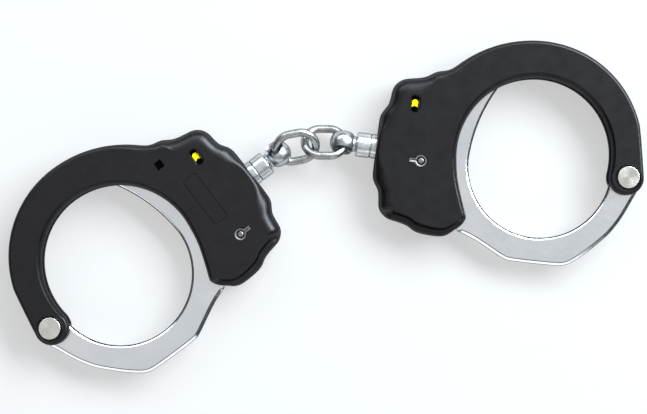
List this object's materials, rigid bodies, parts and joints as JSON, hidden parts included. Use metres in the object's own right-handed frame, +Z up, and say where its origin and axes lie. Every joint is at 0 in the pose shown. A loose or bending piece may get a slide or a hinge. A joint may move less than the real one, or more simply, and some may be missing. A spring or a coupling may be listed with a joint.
{
  "type": "handcuffs",
  "caption": "Chain handcuffs: black polymer cuffs with bright steel bows, double-locking key locks, swivel eyes and oval links.",
  "frame": {"origin": "on the floor plane, under the middle of the whole pair as it lies", "axes": "+X from the left cuff towards the right cuff, +Z up out of the faces of the cuffs, +Y towards the top of the pair as it lies, away from the bows"},
  "size_m": [0.2162, 0.1136, 0.014],
  "materials": {
    "polymer_black": "fine moulded grain, satin",
    "case_polymer": "moulded, matte",
    "indicator_yellow": "moulded, satin",
    "bow_steel": "finely ground, satin bright",
    "rivet_steel": "turned face",
    "swivel_steel": "satin plated",
    "link_steel": "satin plated, slightly rough",
    "keyhole_steel": "satin",
    "lock_steel": "machined",
    "frame_steel": "stamped, oiled",
    "spring_steel": "rolled"
  },
  "bodies": {
    "cuff_a": {"overmold_front_a": "polymer_black", "overmold_rear_a": "polymer_black", "frame_plate_front_a": "frame_steel", "frame_plate_rear_a": "frame_steel", "frame_spacer_a": "frame_steel", "lockset_case_a": "case_polymer", "pivot_rivet_a": "rivet_steel", "swivel_collar_a": "swivel_steel", "pawl_pin_a": "lock_steel", "pawl_spring_a": "spring_steel", "double_lock_spring_a": "spring_steel", "key_post_front_a": "keyhole_steel", "key_post_rear_a": "keyhole_steel", "keyhole_liner_front_a": "keyhole_steel", "keyhole_liner_rear_a": "keyhole_steel", "lockset_retainer_a": "case_polymer"},
    "bow_a": {"bow_a": "bow_steel"},
    "pawl_a": {"pawl_a": "lock_steel"},
    "double_lock_a": {"double_lock_a": "indicator_yellow"},
    "swivel_a": {"swivel_eye_a": "swivel_steel"},
    "cuff_b": {"overmold_front_b": "polymer_black", "overmold_rear_b": "polymer_black", "frame_plate_front_b": "frame_steel", "frame_plate_rear_b": "frame_steel", "frame_spacer_b": "frame_steel", "lockset_case_b": "case_polymer", "pivot_rivet_b": "rivet_steel", "swivel_collar_b": "swivel_steel", "pawl_pin_b": "lock_steel", "pawl_spring_b": "spring_steel", "double_lock_spring_b": "spring_steel", "key_post_front_b": "keyhole_steel", "key_post_rear_b": "keyhole_steel", "keyhole_liner_front_b": "keyhole_steel", "keyhole_liner_rear_b": "keyhole_steel", "lockset_retainer_b": "case_polymer"},
    "bow_b": {"bow_b": "bow_steel"},
    "pawl_b": {"pawl_b": "lock_steel"},
    "double_lock_b": {"double_lock_b": "indicator_yellow"},
    "swivel_b": {"swivel_eye_b": "swivel_steel"},
    "chain_link_1": {"chain_link_1": "link_steel"},
    "chain_link_2": {"chain_link_2": "link_steel"}
  },
  "joints": [
    {"name": "bow_a_turn", "type": "hinge", "parent": "cuff_a", "child": "bow_a", "pos_m": [-0.09408, -0.04121, 0.007], "axis": [0, 0, 1], "continuous": true},
    {"name": "pawl_a_lift", "type": "hinge", "parent": "cuff_a", "child": "pawl_a", "pos_m": [-0.03205, -0.01429, 0.007], "axis": [0, 0, -1], "range_deg": [0, 5.5], "stiffness_Nm_per_rad": 0.05, "springref_deg": -17.19, "deforming": ["pawl_spring_a"]},
    {"name": "double_lock_a_slide", "type": "slide", "parent": "cuff_a", "child": "double_lock_a", "axis": [0.6088, -0.7934, 0], "range_m": [-0.0011, 0]},
    {"name": "swivel_a_spin", "type": "hinge", "parent": "cuff_a", "child": "swivel_a", "pos_m": [-0.01649, 0.01833, 0.007], "axis": [0.7934, 0.6088, 0], "continuous": true},
    {"name": "chain_link_1_swing", "type": "hinge", "parent": "swivel_a", "child": "chain_link_1", "pos_m": [-0.01649, 0.01833, 0.007], "axis": [-0.4728, 0.6161, 0.63], "range_deg": [-60, 60]},
    {"name": "chain_link_2_swing", "type": "hinge", "parent": "chain_link_1", "child": "chain_link_2", "pos_m": [-0.00359, 0.02187, 0.00806], "axis": [-0.0996, 0.6573, 0.747], "range_deg": [-60, 60]},
    {"name": "swivel_b_swing", "type": "hinge", "parent": "chain_link_2", "child": "swivel_b", "pos_m": [0.00576, 0.02219, 0.007], "axis": [-0.1096, -0.8861, 0.4503], "range_deg": [-90, 90]},
    {"name": "swivel_b_spin", "type": "hinge", "parent": "swivel_b", "child": "cuff_b", "pos_m": [0.00576, 0.02219, 0.007], "axis": [-0.9924, 0.1227, 0], "continuous": true},
    {"name": "bow_b_turn", "type": "hinge", "parent": "cuff_b", "child": "bow_b", "pos_m": [0.10282, 0.01019, 0.007], "axis": [0, 0, -1], "continuous": true},
    {"name": "pawl_b_lift", "type": "hinge", "parent": "cuff_b", "child": "pawl_b", "pos_m": [0.0357, 0.00197, 0.007], "axis": [0, 0, 1], "range_deg": [0, 5.5], "stiffness_Nm_per_rad": 0.05, "springref_deg": -17.19, "deforming": ["pawl_spring_b"]},
    {"name": "double_lock_b_slide", "type": "slide", "parent": "cuff_b", "child": "double_lock_b", "axis": [-0.1227, -0.9924, 0], "range_m": [-0.0011, 0]}
  ]
}
